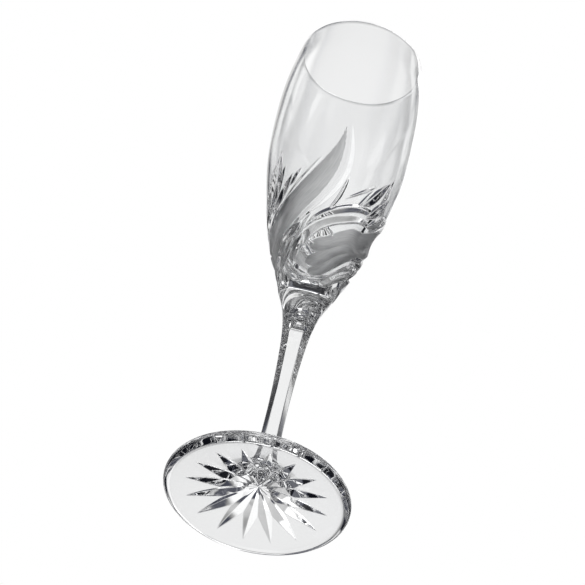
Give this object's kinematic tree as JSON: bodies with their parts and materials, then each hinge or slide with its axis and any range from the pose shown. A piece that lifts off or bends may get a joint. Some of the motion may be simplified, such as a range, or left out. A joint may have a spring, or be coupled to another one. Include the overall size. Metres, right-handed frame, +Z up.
{
  "type": "champagne flute",
  "caption": "Tall tulip-shaped crystal champagne flute with swirling satin and polished leaf cuts round its lower bowl, a six-sided stem and a star-cut domed foot.",
  "frame": {"origin": "centre of the ring that the foot stands on, at table level", "axes": "+Z up the glass's axis towards the rim, -Y towards the satin leaf whose tip is highest in the front view, +X to the right of it"},
  "size_m": [0.0718, 0.0718, 0.23],
  "materials": {
    "bowl_crystal": "clear polished crystal, with wheel-ground satin leaves and polished mitre cuts round the lower bowl",
    "stem_crystal": "clear polished crystal",
    "foot_crystal": "clear polished crystal, star cut underneath"
  },
  "bodies": {
    "root": {"bowl": "bowl_crystal", "stem": "stem_crystal", "foot": "foot_crystal"}
  },
  "joints": []
}
